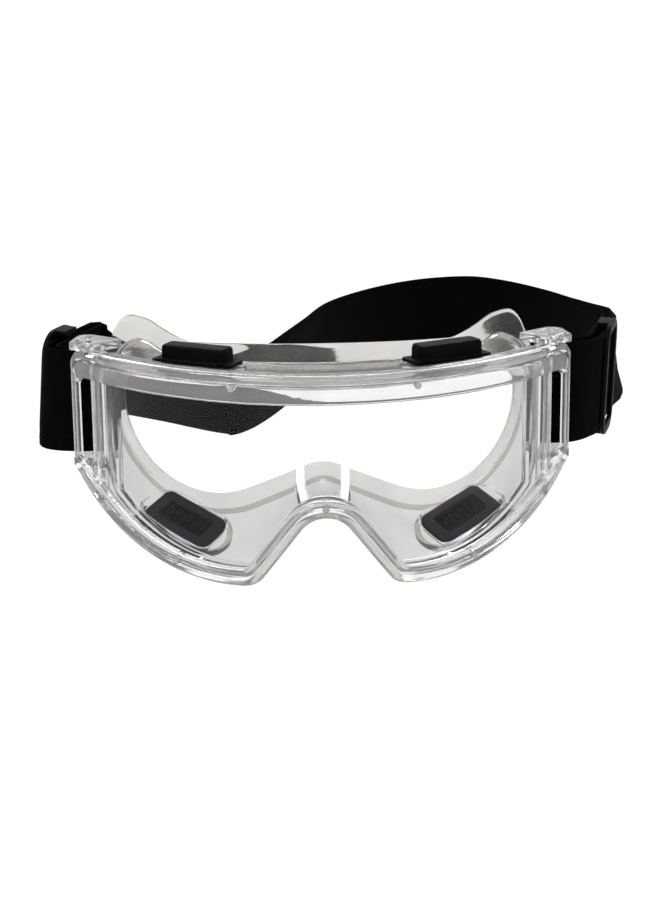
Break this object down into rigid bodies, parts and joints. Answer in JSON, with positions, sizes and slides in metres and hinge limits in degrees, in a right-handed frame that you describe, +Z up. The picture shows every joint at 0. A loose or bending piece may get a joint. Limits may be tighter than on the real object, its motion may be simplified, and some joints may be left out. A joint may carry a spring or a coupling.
{
  "type": "protective goggles",
  "caption": "Clear wide-vision goggles: soft curved facepiece, rigid front frame holding a cylindrical lens, indirect vents, and an elastic headband adjusted by sliders.",
  "frame": {"origin": "middle of the face opening, on the face of the sealing flange", "axes": "the goggles face -Y, +Z is up and +X is to the right of someone looking at the lens"},
  "size_m": [0.2198, 0.1904, 0.0812],
  "materials": {
    "facepiece_pvc": "clear soft vinyl, slightly warm grey, smooth",
    "frame_clear": "clear rigid moulding, glossy",
    "lens_clear": "clear polycarbonate, polished",
    "peg_plastic": "grey, satin",
    "pin_plastic": "clear, smooth",
    "vent_black": "black, satin",
    "vent_grey": "dark grey, satin",
    "screen_black": "dark grey, matte",
    "webbing": "black woven elastic",
    "slider_plastic": "black, satin",
    "thread": "grey thread"
  },
  "bodies": {
    "goggles": {"facepiece": "facepiece_pvc", "front_frame": "frame_clear", "lens": "lens_clear", "lens_pegs": "peg_plastic", "left_strap_pin": "pin_plastic", "right_strap_pin": "pin_plastic", "upper_left_vent_cap": "vent_black", "upper_left_vent_frame": "vent_black", "upper_left_vent_screen": "screen_black", "upper_right_vent_cap": "vent_black", "upper_right_vent_frame": "vent_black", "upper_right_vent_screen": "screen_black", "lower_left_vent_cap": "vent_black", "lower_left_vent_frame": "vent_grey", "lower_left_vent_screen": "screen_black", "lower_right_vent_cap": "vent_black", "lower_right_vent_frame": "vent_grey", "lower_right_vent_screen": "screen_black"},
    "headband": {"headband": "webbing", "left_end_stitching": "thread", "right_end_stitching": "thread"},
    "left_slider": {"left_slider": "slider_plastic"},
    "right_slider": {"right_slider": "slider_plastic"}
  },
  "joints": [
    {"name": "headband_tilt", "type": "hinge", "parent": "goggles", "child": "headband", "pos_m": [0, 0.0095, 0.008], "axis": [1, 0, 0], "range_deg": [-3, 3]},
    {"name": "left_slider_slide", "type": "slide", "parent": "headband", "child": "left_slider", "axis": [0.342, 0.9397, 0], "range_m": [-0.001, 0.009]},
    {"name": "right_slider_slide", "type": "slide", "parent": "headband", "child": "right_slider", "axis": [0.2924, 0.9563, 0], "range_m": [-0.001, 0.009]}
  ]
}
